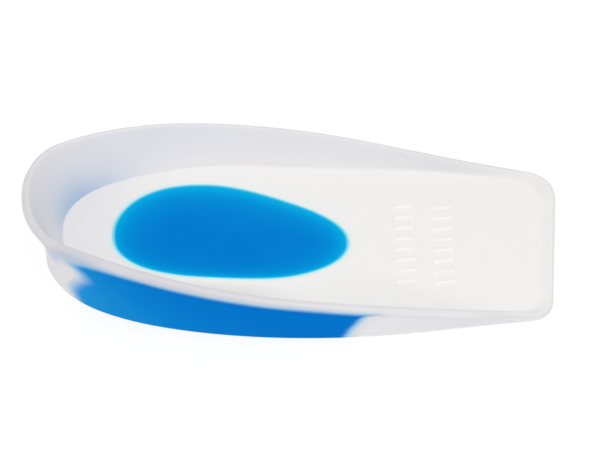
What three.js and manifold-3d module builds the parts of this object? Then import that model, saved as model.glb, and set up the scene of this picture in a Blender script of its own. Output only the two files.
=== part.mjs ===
// Heel cup of milky silicone, with a blue gel pad in its floor and a blue gel inlay in its near side.
// Millimetres. The heel points along -X and the open front along +X. The near side is -Y, the cup
// stands on its flat bottom at z = 0, and the origin is the middle of its footprint.

import * as THREE from 'three';
import { mergeVertices } from 'three/addons/utils/BufferGeometryUtils.js';
import Module from 'manifold-3d';

const wasm = await Module();
wasm.setup();

// Cup
const cupLength = 112;
const cupWidth = 65;
const heelHeight = 17;
const frontThickness = 2.2;
const heelFloorThickness = 7.2;
const rimRadius = 1.2;
const bottomEdgeRadius = 0.8;
const sideBulge = 0.5;
const heelHollow = 1.3;
const frontCornerLength = 4.2;
const frontCornerWidth = 6.2;
const frontSkew = 1.6;
const creaseSoftness = 0.3;
const rimDropShare = 0.6;

// Heel pad, flush in the floor
const padFromHeel = 18.6;
const padLength = 49.6;
const padWidth = 34.2;
const padEggShare = 0.15;
const padFullness = 0.93;
const padCrown = 0.3;
const padSkin = 1.6;

// Side inlay, flush in the outer face of the near wall and down to the bottom
const inlayDepth = 1.5;
const inlayDropAtFront = 2.0;
const inlayDropAtHeel = 3.4;
const inlayHeelEnd = { top: 2.8, bottom: 2.2 };
const inlayFrontEnd = { top: 7.5, bottom: 7.15 };

// Two rows of low grip bars on the floor in front of the pad
const gripRows = 2;
const barsPerRow = 8;
const barLength = 5;
const barWidth = 1.2;
const barHeight = 0.4;
const barSink = 0.6;
const barPitch = 3.9;
const gripFromFront = 24;
const gripRowPitch = 8;
const barSlantDegrees = 12;

// Gap between pieces that touch, and how far a cutter stands clear of the surface that it cuts
const clearance = 0.3;
const cutterOverrun = 3;

// Fineness of the surfaces
const stepsPerSection = 3;
const cornerSteps = 5;
const frontSteps = 8;
const wallSteps = 3;
const edgeSteps = 3;
const padSteps = 48;
const padRings = 4;
const inlaySteps = 18;
const barEndSteps = 5;

const halfLength = cupLength / 2;
const crestHalfLength = halfLength - rimRadius;
const crestHalfWidth = cupWidth / 2 - rimRadius;
const wallRise = heelHeight - frontThickness;
const floorRise = heelFloorThickness - frontThickness;

// Sections from the back of the heel to the start of the front corner, for the crest of the rim, the
// foot of the outer wall and the crease where the inner wall meets the floor. Each x is a share of half
// the crest's length and each y of half its width. wall is the share of the wall's rise from front to heel.
const sections = [
  { rimX: -1.0, rimY: 0.0, baseX: -0.929, baseY: 0.0, creaseX: -0.867, creaseY: 0.0, wall: 1.0 },
  { rimX: -0.98, rimY: 0.288, baseX: -0.908, baseY: 0.205, creaseX: -0.851, creaseY: 0.211, wall: 1.0 },
  { rimX: -0.912, rimY: 0.534, baseX: -0.852, baseY: 0.4, creaseX: -0.795, creaseY: 0.395, wall: 1.0 },
  { rimX: -0.803, rimY: 0.671, baseX: -0.763, baseY: 0.569, creaseX: -0.717, creaseY: 0.52, wall: 0.993 },
  { rimX: -0.639, rimY: 0.812, baseX: -0.613, baseY: 0.728, creaseX: -0.58, creaseY: 0.639, wall: 0.932 },
  { rimX: -0.42, rimY: 0.93, baseX: -0.409, baseY: 0.85, creaseX: -0.394, creaseY: 0.741, wall: 0.824 },
  { rimX: -0.146, rimY: 0.994, baseX: -0.142, baseY: 0.933, creaseX: -0.139, creaseY: 0.824, wall: 0.669 },
  { rimX: 0.146, rimY: 0.987, baseX: 0.146, baseY: 0.955, creaseX: 0.146, creaseY: 0.863, wall: 0.514 },
  { rimX: 0.438, rimY: 0.927, baseX: 0.438, baseY: 0.92, creaseX: 0.438, creaseY: 0.85, wall: 0.338 },
  { rimX: 0.693, rimY: 0.863, baseX: 0.693, baseY: 0.853, creaseX: 0.69, creaseY: 0.805, wall: 0.189 },
];

// The last section, where the front corners start, and the lines that the front edge lies on.
const frontSection = { rimY: 0.815, baseY: 0.789, creaseY: 0.754, wall: 0.068 };
const frontLines = { rimX: 1.0, baseX: 1.009, creaseX: 0.94 };

// Share of the floor's rise from front to heel, at even steps from the back of the heel to the front.
const floorRises = [1, 1, 1, 0.9, 0.55, 0.31, 0.16, 0.07, 0];

const floorCurve = new THREE.SplineCurve(floorRises.map((rise, step) => new THREE.Vector2(step, rise)));

// Height of the floor at a distance along the cup.
function floorHeight(x) {
  const along = THREE.MathUtils.clamp((x + halfLength) / cupLength, 0, 1);
  return frontThickness + floorRise * floorCurve.getPoint(along).y;
}

// One of the three outlines of the cup as a curve from the near front corner round the heel to the far
// one. name is rim, base or crease. The rim's curve climbs with the wall.
function sideCurve(name) {
  const x = `${name}X`;
  const y = `${name}Y`;
  const corner = { ...frontSection, [x]: frontLines[x] - frontCornerLength / crestHalfLength };
  const far = [...sections, corner].map(
    (row) => new THREE.Vector3(
      row[x] * crestHalfLength,
      row[y] * crestHalfWidth,
      name === 'rim' ? frontThickness + row.wall * wallRise : 0,
    ),
  );
  const near = far.slice(1).reverse().map((point) => new THREE.Vector3(point.x, -point.y, point.z));
  return new THREE.CatmullRomCurve3([...near, ...far]);
}

const curves = { rim: sideCurve('rim'), base: sideCurve('base'), crease: sideCurve('crease') };
const lastSection = sections.length;

// Where a place on the near side, counted in sections from the heel, lies on the curves.
function nearSide(section) {
  return (lastSection - section) / (2 * lastSection);
}

// The near front corner: from the end of the side, on in its own direction, and round to the front edge.
function cornerCurve(name) {
  const curve = curves[name];
  const start = curve.getPoint(0);
  const direction = curve.getTangent(0).negate();
  const frontX = frontLines[`${name}X`] * crestHalfLength;
  const bend = start.clone().addScaledVector(direction, (frontX - start.x) / direction.x);
  const end = new THREE.Vector3(frontX, bend.y + frontCornerWidth, name === 'rim' ? frontThickness : 0);
  bend.z = end.z;
  return new THREE.QuadraticBezierCurve3(start, bend, end);
}

// Sets the near end of the front edge a little back, as the real edge isn't quite square.
const frontHalfWidth = -cornerCurve('rim').getPoint(1).y;

function skewFront(point) {
  const ahead = THREE.MathUtils.smoothstep(point.x, 0, halfLength);
  const nearness = Math.max(0, (frontHalfWidth - point.y) / (2 * frontHalfWidth));
  point.x -= frontSkew * ahead * nearness;
  return point;
}

// One outline as a closed loop, from the back of the heel along the near side, the front edge and the
// far side.
function outlineLoop(name) {
  const near = [];
  for (let step = 0; step < lastSection * stepsPerSection; step += 1) {
    near.push(curves[name].getPoint(nearSide(step / stepsPerSection)));
  }
  near.push(...cornerCurve(name).getPoints(cornerSteps));
  const mirror = (point) => new THREE.Vector3(point.x, -point.y, point.z);
  const nearEnd = near[near.length - 1];
  const front = [];
  for (let step = 1; step < frontSteps; step += 1) {
    front.push(nearEnd.clone().lerp(mirror(nearEnd), step / frontSteps));
  }
  const far = near.slice(1).reverse().map(mirror);
  return [...near, ...front, ...far].map(skewFront);
}

// The level direction out of a closed loop at each of its points.
function outwardDirections(loop) {
  return loop.map((point, index) => {
    const before = loop[(index + loop.length - 1) % loop.length];
    const after = loop[(index + 1) % loop.length];
    return new THREE.Vector3(after.y - before.y, before.x - after.x, 0).normalize();
  });
}

// Collects the points and triangles of one closed surface.
class Surface {
  constructor() {
    this.positions = [];
    this.triangles = [];
  }

  addLoop(points) {
    return points.map((point) => {
      this.positions.push(point.x, point.y, point.z);
      return this.positions.length / 3 - 1;
    });
  }

  addTriangle(a, b, c) {
    if (a !== b && b !== c && c !== a) this.triangles.push(a, b, c);
  }

  addQuad(a, b, c, d) {
    this.addTriangle(a, b, c);
    this.addTriangle(a, c, d);
  }

  // A band between two loops of the same number of points.
  addBand(lower, upper) {
    lower.forEach((corner, index) => {
      const next = (index + 1) % lower.length;
      this.addQuad(corner, lower[next], upper[next], upper[index]);
    });
  }

  // A fan that closes a loop of a simple shape. The loop runs against the clock seen from outside.
  addFan(loop) {
    for (let index = 1; index < loop.length - 1; index += 1) {
      this.addTriangle(loop[0], loop[index], loop[index + 1]);
    }
  }

  geometry() {
    const geometry = new THREE.BufferGeometry();
    geometry.setAttribute('position', new THREE.Float32BufferAttribute(this.positions, 3));
    geometry.setIndex(this.triangles);
    return geometry;
  }
}

// Closes a loop of the cup's outline with rows of faces from the near side to the far side.
function addCap(surface, corners, heightAt, facesUp) {
  const sideCount = (corners.length - frontSteps) / 2;
  const pointOf = (corner) => new THREE.Vector3().fromArray(surface.positions, corner * 3);
  let previous = new Array(frontSteps + 1).fill(corners[0]);
  for (let index = 1; index <= sideCount; index += 1) {
    const near = corners[index];
    const far = corners[corners.length - index];
    let row = corners.slice(sideCount, sideCount + frontSteps + 1);
    if (index < sideCount) {
      const inner = [];
      for (let step = 1; step < frontSteps; step += 1) {
        const point = pointOf(near).lerp(pointOf(far), step / frontSteps);
        point.z = heightAt(point.x);
        inner.push(point);
      }
      row = [near, ...surface.addLoop(inner), far];
    }
    for (let step = 0; step < frontSteps; step += 1) {
      const quad = [previous[step], row[step], row[step + 1], previous[step + 1]];
      surface.addQuad(...(facesUp ? quad : quad.reverse()));
    }
    previous = row;
  }
}

// The whole cup before its recesses are cut: flat bottom, rounded bottom edge, outer wall, rounded rim,
// inner wall and floor.
function cupGeometry() {
  const rim = outlineLoop('rim');
  const base = outlineLoop('base');
  const crease = outlineLoop('crease');
  const outward = outwardDirections(rim);
  const surface = new Surface();
  const loops = [];
  const addLoop = (place) => loops.push(surface.addLoop(rim.map((point, index) => place(index))));

  const bottomEdge = (index, angle) => base[index].clone()
    .addScaledVector(outward[index], bottomEdgeRadius * (Math.sin(angle) - 1))
    .setZ(bottomEdgeRadius * (1 - Math.cos(angle)));
  const dropAbove = (index, foot) => Math.min(rimRadius, (rim[index].z - foot) * rimDropShare);
  const rimEdge = (index, angle) => {
    const foot = angle < Math.PI / 2 ? bottomEdgeRadius : floorHeight(crease[index].x);
    const drop = dropAbove(index, foot);
    return rim[index].clone()
      .addScaledVector(outward[index], rimRadius * Math.cos(angle))
      .setZ(rim[index].z - drop * (1 - Math.sin(angle)));
  };
  const outerWall = (index, share) => {
    const backward = Math.max(0, -outward[index].x);
    const fullBulge = THREE.MathUtils.lerp(sideBulge, -heelHollow, backward);
    const bulge = fullBulge * (rim[index].z / heelHeight);
    return bottomEdge(index, Math.PI / 2)
      .lerp(rimEdge(index, 0), share)
      .addScaledVector(outward[index], bulge * Math.sin(Math.PI * share));
  };
  const innerWall = (index, share) => {
    const top = rimEdge(index, Math.PI);
    const foot = crease[index].clone().setZ(floorHeight(crease[index].x));
    const bend = foot.clone().lerp(top, creaseSoftness).setZ(foot.z);
    return new THREE.QuadraticBezierCurve3(top, bend, foot).getPoint(share);
  };

  for (let step = 0; step <= edgeSteps; step += 1) {
    addLoop((index) => bottomEdge(index, (Math.PI / 2) * (step / edgeSteps)));
  }
  for (let step = 1; step < wallSteps; step += 1) {
    addLoop((index) => outerWall(index, step / wallSteps));
  }
  for (let step = 0; step <= 2 * edgeSteps; step += 1) {
    addLoop((index) => rimEdge(index, (Math.PI / 2) * (step / edgeSteps)));
  }
  for (let step = 1; step <= wallSteps + 1; step += 1) {
    addLoop((index) => innerWall(index, step / (wallSteps + 1)));
  }

  loops.slice(1).forEach((loop, index) => surface.addBand(loops[index], loop));
  addCap(surface, loops[0], () => 0, false);
  addCap(surface, loops[loops.length - 1], floorHeight, true);
  return surface.geometry();
}

// The egg-shaped pad, its wide end at the heel. grow widens and deepens it all round, and lift raises
// its top, so that the same shape cuts the recess that holds it.
function padGeometry(grow, lift) {
  const centreX = -halfLength + padFromHeel + padLength / 2;
  const outline = (share) => {
    const points = [];
    for (let step = 0; step < padSteps; step += 1) {
      const angle = (2 * Math.PI * step) / padSteps;
      const side = Math.sign(Math.sin(angle)) * Math.abs(Math.sin(angle)) ** padFullness;
      const along = (padLength / 2 + grow) * Math.cos(angle);
      const across = (padWidth / 2 + grow) * side * (1 - padEggShare * Math.cos(angle));
      points.push(new THREE.Vector3(centreX + along * share, across * share, 0));
    }
    return points;
  };
  const surface = new Surface();
  const bottom = surface.addLoop(outline(1).map((point) => point.setZ(padSkin + clearance - grow)));
  surface.addFan([...bottom].reverse());
  let lower = bottom;
  for (let ring = padRings; ring > 0; ring -= 1) {
    const share = ring / padRings;
    const crown = padCrown * (1 - share * share);
    const upper = surface.addLoop(outline(share).map((point) => point.setZ(floorHeight(point.x) + crown + lift)));
    surface.addBand(lower, upper);
    lower = upper;
  }
  surface.addFan(lower);
  return surface.geometry();
}

// The block that the side inlay is trimmed from and its recess is cut with. It follows the near outer
// wall. grow deepens, heightens and lengthens it, and its outer face stands clear of the wall.
function inlayBlockGeometry(grow) {
  const surface = new Surface();
  const loops = [];
  for (let step = 0; step <= inlaySteps; step += 1) {
    const share = step / inlaySteps;
    const beyond = (step === inlaySteps ? grow : 0) - (step === 0 ? grow : 0);
    const topAt = nearSide(THREE.MathUtils.lerp(inlayHeelEnd.top, inlayFrontEnd.top, share));
    const bottomAt = nearSide(THREE.MathUtils.lerp(inlayHeelEnd.bottom, inlayFrontEnd.bottom, share));
    const drop = THREE.MathUtils.lerp(inlayDropAtFront, inlayDropAtHeel, (1 - share) ** 3);
    const crest = curves.rim.getPoint(topAt);
    const foot = curves.base.getPoint(bottomAt);
    const forward = curves.rim.getTangent(topAt).setZ(0).normalize().negate();
    const outward = new THREE.Vector3(forward.y, -forward.x, 0);
    const rise = (crest.z - drop - bottomEdgeRadius) / (crest.z - rimRadius - bottomEdgeRadius);
    const shoulder = crest.clone().addScaledVector(outward, rimRadius);
    const top = foot.clone().lerp(shoulder, rise).setZ(crest.z - drop + grow);
    const place = (point, out, z) => point.clone()
      .addScaledVector(outward, out)
      .addScaledVector(forward, beyond)
      .setZ(z);
    loops.push(surface.addLoop([
      place(top, cutterOverrun, top.z),
      place(foot, cutterOverrun, -cutterOverrun),
      place(foot, -inlayDepth - grow, -cutterOverrun),
      place(top, -inlayDepth - grow, top.z),
    ]));
  }
  loops.slice(1).forEach((loop, index) => surface.addBand(loops[index], loop));
  surface.addFan([...loops[0]].reverse());
  surface.addFan(loops[loops.length - 1]);
  return surface.geometry();
}

// One grip bar with round ends, its top above the floor and its foot sunk in it.
function barGeometry(x, y) {
  const straight = (barLength - barWidth) / 2;
  const shape = new THREE.Shape();
  shape.absarc(straight, 0, barWidth / 2, -Math.PI / 2, Math.PI / 2, false);
  shape.absarc(-straight, 0, barWidth / 2, Math.PI / 2, (3 * Math.PI) / 2, false);
  const bar = new THREE.ExtrudeGeometry(shape, {
    depth: barSink + barHeight,
    bevelEnabled: false,
    curveSegments: barEndSteps,
  });
  const slope = (floorHeight(x + barLength / 2) - floorHeight(x - barLength / 2)) / barLength;
  bar.translate(0, 0, -barSink);
  bar.rotateZ(THREE.MathUtils.degToRad(barSlantDegrees));
  bar.rotateY(-Math.atan(slope));
  bar.translate(x, y, floorHeight(x));
  return bar;
}

// A closed geometry as a solid that can be cut and joined.
function toSolid(geometry) {
  geometry.deleteAttribute('normal');
  geometry.deleteAttribute('uv');
  const merged = mergeVertices(geometry);
  return new wasm.Manifold(new wasm.Mesh({
    numProp: 3,
    vertProperties: merged.getAttribute('position').array,
    triVerts: new Uint32Array(merged.getIndex().array),
  }));
}

// A solid as a named mesh with its own material.
function toMesh(name, solid, material) {
  const { vertProperties, triVerts } = solid.getMesh();
  const geometry = new THREE.BufferGeometry();
  geometry.setAttribute('position', new THREE.BufferAttribute(vertProperties, 3));
  geometry.setIndex(new THREE.BufferAttribute(triVerts, 1));
  const mesh = new THREE.Mesh(geometry, material);
  mesh.name = name;
  return mesh;
}

// The grip bars joined on the floor.
function addGripBars(cup) {
  let gripped = cup;
  for (let row = 0; row < gripRows; row += 1) {
    const x = halfLength - gripFromFront - row * gripRowPitch;
    for (let bar = 0; bar < barsPerRow; bar += 1) {
      const y = (bar - (barsPerRow - 1) / 2) * barPitch;
      gripped = gripped.add(toSolid(barGeometry(x, y)));
    }
  }
  return gripped;
}

const milkySilicone = new THREE.MeshStandardMaterial({ color: 0xe9e9ea, roughness: 0.45, metalness: 0 });
const blueGel = new THREE.MeshStandardMaterial({ color: 0x007bcf, roughness: 0.35, metalness: 0 });

const wholeCup = toSolid(cupGeometry());
const pad = toSolid(padGeometry(0, 0));
const inlay = wholeCup.intersect(toSolid(inlayBlockGeometry(0)));
const body = addGripBars(wholeCup)
  .subtract(toSolid(padGeometry(clearance, cutterOverrun)))
  .subtract(toSolid(inlayBlockGeometry(clearance)));

const heelCup = new THREE.Group();
heelCup.add(
  toMesh('cup_body', body, milkySilicone),
  toMesh('heel_pad', pad, blueGel),
  toMesh('side_inlay', inlay, blueGel.clone()),
);

export default heelCup;
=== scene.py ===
"""Heel cup of milky silicone, with a blue gel pad in its floor and a blue gel inlay in its near side.

The cup's form is lofted through a short table of sections. All forms are worked out in millimetres and
turned into metres when their mesh is made. The heel points along -X, the open front along +X and the near
side along -Y.
"""

import logging
import math
from collections.abc import Callable
from dataclasses import dataclass, field
from enum import Enum
from typing import Any, ClassVar, NamedTuple

import bpy
import numpy as np
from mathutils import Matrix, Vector
from mathutils.kdtree import KDTree


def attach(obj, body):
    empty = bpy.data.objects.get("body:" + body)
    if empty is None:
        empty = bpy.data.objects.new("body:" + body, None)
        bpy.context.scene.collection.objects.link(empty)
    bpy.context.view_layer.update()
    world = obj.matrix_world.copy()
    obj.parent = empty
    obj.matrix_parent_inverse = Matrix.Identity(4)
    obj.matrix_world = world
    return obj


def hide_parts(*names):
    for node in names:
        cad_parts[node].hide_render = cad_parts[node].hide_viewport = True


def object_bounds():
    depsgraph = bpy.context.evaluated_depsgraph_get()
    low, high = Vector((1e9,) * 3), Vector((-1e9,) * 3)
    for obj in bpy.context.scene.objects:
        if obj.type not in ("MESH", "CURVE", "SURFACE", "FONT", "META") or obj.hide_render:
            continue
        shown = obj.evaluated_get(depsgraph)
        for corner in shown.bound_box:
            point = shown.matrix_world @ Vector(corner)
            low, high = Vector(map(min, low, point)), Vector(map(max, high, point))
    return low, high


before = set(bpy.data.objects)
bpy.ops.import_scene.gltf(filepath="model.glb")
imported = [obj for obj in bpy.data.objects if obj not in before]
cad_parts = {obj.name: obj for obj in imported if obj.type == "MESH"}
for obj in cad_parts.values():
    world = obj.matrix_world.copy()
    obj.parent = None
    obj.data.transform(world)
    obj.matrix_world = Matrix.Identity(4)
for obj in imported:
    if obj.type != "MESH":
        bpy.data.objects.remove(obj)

Array = np.ndarray
Material = bpy.types.Material
Node = bpy.types.Node
Object = bpy.types.Object
Socket = bpy.types.NodeSocket
Tree = bpy.types.NodeTree
Numbers = tuple[float, ...]
Span = tuple[float, float]

CAD_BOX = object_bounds()
MM = 0.001
# Faces that meet at more than this angle keep a crisp edge.
SHARP_DEGREES = 40.0
# A point that a cut leaves takes its named values from this many points near it, the nearer the more.
NEAR_POINTS = 3
LEAST_GAP = 1e-7

log = logging.getLogger("heel_cup")


class Slot(Enum):
    """Names of the cup's three material slots."""

    SILICONE = "milky_silicone"
    PAD = "pad_gel"
    INLAY = "inlay_gel"


class Outline(Enum):
    """The outlines that the cup is lofted through."""

    RIM = "rim"
    BASE = "base"
    CREASE = "crease"


class Section(NamedTuple):
    """One section of the cup's side.

    An x is a share of half the length of the rim's crest, and a y one of half its width. The wall is a share
    of the way from the front's thickness up to the cup's full height.
    """

    rim_x: float
    rim_y: float
    base_x: float
    base_y: float
    crease_x: float
    crease_y: float
    wall: float


def linear(hex_colour: str) -> tuple[float, float, float, float]:
    """Turns an sRGB hex colour into linear red, green, blue and alpha.

    Args:
        hex_colour: Six hex digits after a #.

    Returns:
        The colour that Blender's sockets expect.
    """
    shares = [int(hex_colour[place : place + 2], 16) / 255 for place in (1, 3, 5)]
    red, green, blue = (s / 12.92 if s <= 0.04045 else ((s + 0.055) / 1.055) ** 2.4 for s in shares)
    return (red, green, blue, 1.0)


def mix(first: Any, second: Any, share: Any) -> Any:
    """Goes from one value to another by a share from 0 to 1."""
    return first + (second - first) * share


def ease(low: float, high: float, values: Any) -> Any:
    """Rises smoothly from 0 at low to 1 at high."""
    share = np.clip((np.asarray(values, float) - low) / (high - low), 0, 1)
    return share * share * (3 - 2 * share)


def hump(middle: float, half_width: float, values: Any) -> Any:
    """Rises to 1 at the middle and falls smoothly to 0 at half the width on either side."""
    return 1 - ease(0, half_width, np.abs(np.asarray(values, float) - middle))


def column(values: Any) -> Array:
    """Turns values into a column, so that each one multiplies a row of a table of points."""
    return np.asarray(values, float).reshape(-1, 1)


def level(points: Array, heights: Any) -> Array:
    """Gives a copy of the points at other heights.

    Args:
        points: The points, one a row.
        heights: The height, or one for each.

    Returns:
        The points.
    """
    moved = np.array(points, float)
    moved[:, 2] = heights
    return moved


def cubic(first: Any, second: Any, slope_in: Any, slope_out: Any, share: Any) -> Any:
    """Follows a cubic from one value to the next by a share, with the slope given at either end.

    Args:
        first: The value at the start.
        second: The value at the end.
        slope_in: The slope at the start.
        slope_out: The slope at the end.
        share: The share of the way, from 0 to 1.

    Returns:
        The value there.
    """
    square = -3 * first + 3 * second - 2 * slope_in - slope_out
    cube = 2 * first - 2 * second + slope_in + slope_out
    return first + slope_in * share + square * share**2 + cube * share**3


def smooth_curve(knots: Array, places: Array) -> Array:
    """Follows a centripetal Catmull-Rom curve through knots.

    Args:
        knots: The points that the curve passes through, one a row.
        places: Where to read the curve, counted in knots from the first.

    Returns:
        A point for each place.
    """
    ends = np.array([2 * knots[0] - knots[1], 2 * knots[-1] - knots[-2]])
    padded = np.vstack([ends[:1], knots, ends[1:]])
    start = np.clip(np.floor(places).astype(int), 0, len(knots) - 2)
    share = column(places - start)
    before, first, second, after = (padded[start + step] for step in range(4))

    def stretch(one: Array, other: Array) -> Array:
        """Gives the root of the distance between points, which spaces the curve."""
        return column(np.linalg.norm(other - one, axis=1) ** 0.5)

    lead, span, tail = stretch(before, first), stretch(first, second), stretch(second, after)
    slope_in = ((first - before) / lead - (second - before) / (lead + span) + (second - first) / span) * span
    slope_out = ((second - first) / span - (after - first) / (span + tail) + (after - second) / tail) * span
    return cubic(first, second, slope_in, slope_out, share)


def even_curve(heights: Array, places: Array) -> Array:
    """Follows an even Catmull-Rom curve through heights that stand one step apart.

    Args:
        heights: The heights that the curve passes through.
        places: Where to read the curve, counted in steps from the first.

    Returns:
        A height for each place.
    """
    last = len(heights) - 1
    start = np.clip(np.floor(places).astype(int), 0, last - 1)
    share = places - start
    before, first = heights[np.maximum(start - 1, 0)], heights[start]
    second, after = heights[start + 1], heights[np.minimum(start + 2, last)]
    slope_in, slope_out = (second - before) / 2, (after - first) / 2
    return cubic(first, second, slope_in, slope_out, share)


def fill(node: Node, inputs: dict[str, Any]) -> None:
    """Sets a node's sockets by name or identifier, each to a value or to the socket that feeds it.

    Args:
        node: The node.
        inputs: The values and sockets by name.
    """
    for name, value in inputs.items():
        socket = next(s for s in node.inputs if s.enabled and name in (s.identifier, s.name))
        if isinstance(value, Socket):
            node.id_data.links.new(value, socket)
        else:
            socket.default_value = value


def add_node(tree: Tree, kind: str, settings: dict[str, Any], inputs: dict[str, Any]) -> Node:
    """Adds one node to a tree.

    Args:
        tree: The tree that the node goes in.
        kind: The node's type.
        settings: Its properties by name.
        inputs: Its sockets by name or identifier, each with a value or with the socket that feeds it.

    Returns:
        The node.
    """
    node = tree.nodes.new(kind)
    for name, value in settings.items():
        setattr(node, name, value)
    fill(node, inputs)
    return node


def output(node: Node) -> Socket:
    """Gives the first output of a node that its settings leave in use."""
    return next(socket for socket in node.outputs if socket.enabled)


def named_value(tree: Tree, name: str) -> Socket:
    """Reads one of the mesh's named values in a material."""
    return add_node(tree, "ShaderNodeAttribute", {"attribute_name": name}, {}).outputs["Fac"]


def blend(tree: Tree, share: Socket, first: Any, second: Any) -> Socket:
    """Goes from one colour to another in a material, by a share from 0 to 1."""
    inputs = {"Factor": share, "A_Color": first, "B_Color": second}
    return output(add_node(tree, "ShaderNodeMix", {"data_type": "RGBA"}, inputs))


def new_material(name: str) -> tuple[Material, Node]:
    """Makes a material and gives it with its shader.

    Args:
        name: The material's name.

    Returns:
        The material and its Principled shader.
    """
    made = bpy.data.materials.new(name)
    made.use_nodes = True
    return made, made.node_tree.nodes["Principled BSDF"]


def add_object(name: str, data: bpy.types.ID) -> Object:
    """Adds an object to the scene, at the origin.

    Args:
        name: The object's name.
        data: Its mesh, lamp or camera.

    Returns:
        The object.
    """
    made = bpy.data.objects.new(name, data)
    bpy.context.scene.collection.objects.link(made)
    return made


@dataclass
class Skin:
    """The points, faces and named values of one closed surface, in millimetres."""

    points: list[Array] = field(default_factory=list)
    faces: list[tuple[int, ...]] = field(default_factory=list)
    values: dict[str, list[Array]] = field(default_factory=dict)
    count: int = 0

    def add_loop(self, points: Array, **values: Any) -> Array:
        """Adds points, with a number or an array for each named value.

        Args:
            points: One point a row.
            values: The named values of these points. One that is left out is 0.

        Returns:
            The points' numbers in the surface.
        """
        for name in values:
            self.values.setdefault(name, [np.zeros(self.count)] if self.count else [])
        for name, kept in self.values.items():
            kept.append(np.broadcast_to(np.asarray(values.get(name, 0.0), float), (len(points),)))
        self.points.append(points)
        numbers = np.arange(self.count, self.count + len(points))
        self.count += len(points)
        return numbers

    def add_face(self, *corners: int) -> None:
        """Adds a face, without corners that repeat.

        Args:
            corners: The numbers of its points, in order round it.
        """
        kept = tuple(dict.fromkeys(int(corner) for corner in corners))
        if len(kept) > 2:
            self.faces.append(kept)

    def add_band(self, lower: Array, upper: Array) -> None:
        """Joins two loops of the same number of points."""
        for one, other, high, low in zip(lower, np.roll(lower, -1), np.roll(upper, -1), upper):
            self.add_face(one, other, high, low)

    def add_cap(
        self, loop: Array, height: Callable[[Array], Array], columns: int, faces_up: bool
    ) -> None:
        """Closes a loop that mirrors itself, with rows of faces from its near side to its far side.

        Args:
            loop: The numbers of the loop's points, the first one on its axis at the heel.
            height: Gives the heights of inner points.
            columns: How many faces each row has.
            faces_up: True on top of the surface, False below it.
        """
        places = np.vstack(self.points)
        previous = np.full(columns + 1, loop[0])
        half = len(loop) // 2
        for step in range(1, half + 1):
            near, far = loop[step], loop[-step]
            row = np.full(columns + 1, near)
            if near != far:
                shares = np.arange(1, columns) / columns
                inner = mix(places[near], places[far], column(shares))
                row = np.concatenate([[near], self.add_loop(level(inner, height(inner))), [far]])
            for low, high, after, before in zip(previous[:-1], row[:-1], row[1:], previous[1:]):
                corners = (low, high, after, before)
                self.add_face(*(corners if faces_up else corners[::-1]))
            previous = row

    def make(self, name: str) -> Object:
        """Makes the surface an object of the scene, in metres.

        Args:
            name: The object's name.

        Returns:
            The object.
        """
        mesh = bpy.data.meshes.new(name)
        mesh.from_pydata((np.vstack(self.points) * MM).tolist(), [], self.faces)
        for value_name, parts in self.values.items():
            attribute = mesh.attributes.new(value_name, "FLOAT", "POINT")
            attribute.data.foreach_set("value", np.concatenate(parts).astype(np.float32))
        mesh.update()
        return add_object(name, mesh)


def settle(made: Object, material: Material) -> None:
    """Turns an object's live modifiers into plain mesh, smooths it and gives it one material.

    Args:
        made: The object.
        material: Its finish.
    """
    depsgraph = bpy.context.evaluated_depsgraph_get()
    mesh = bpy.data.meshes.new_from_object(made.evaluated_get(depsgraph))
    made.modifiers.clear()
    made.data = mesh
    mesh.name = made.name
    mesh.materials.clear()
    mesh.materials.append(material)
    mesh.polygons.foreach_set("material_index", np.zeros(len(mesh.polygons), np.int32))
    mesh.shade_smooth()
    mesh.set_sharp_from_angle(angle=math.radians(SHARP_DEGREES))
    mesh.update()


def carry_values(source: bpy.types.Mesh, target: bpy.types.Mesh) -> None:
    """Gives each point of a mesh the named values of the nearest points of the mesh that it was cut from.

    Args:
        source: The mesh before the cut.
        target: The mesh after it.
    """
    tree = KDTree(len(source.vertices))
    for number, vertex in enumerate(source.vertices):
        tree.insert(vertex.co, number)
    tree.balance()
    found = [tree.find_n(vertex.co, NEAR_POINTS) for vertex in target.vertices]
    numbers = np.array([[number for _, number, _ in near] for near in found])
    gaps = np.array([[gap for _, _, gap in near] for near in found])
    weights = 1 / (gaps + LEAST_GAP)
    weights /= weights.sum(axis=1, keepdims=True)
    for attribute in source.attributes:
        if attribute.data_type == "FLOAT" and attribute.domain == "POINT":
            values = np.empty(len(source.vertices), np.float32)
            attribute.data.foreach_get("value", values)
            name = attribute.name
            kept = target.attributes.get(name) or target.attributes.new(name, "FLOAT", "POINT")
            kept.data.foreach_set("value", (values[numbers] * weights).sum(axis=1).astype(np.float32))
    target.update()


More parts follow.
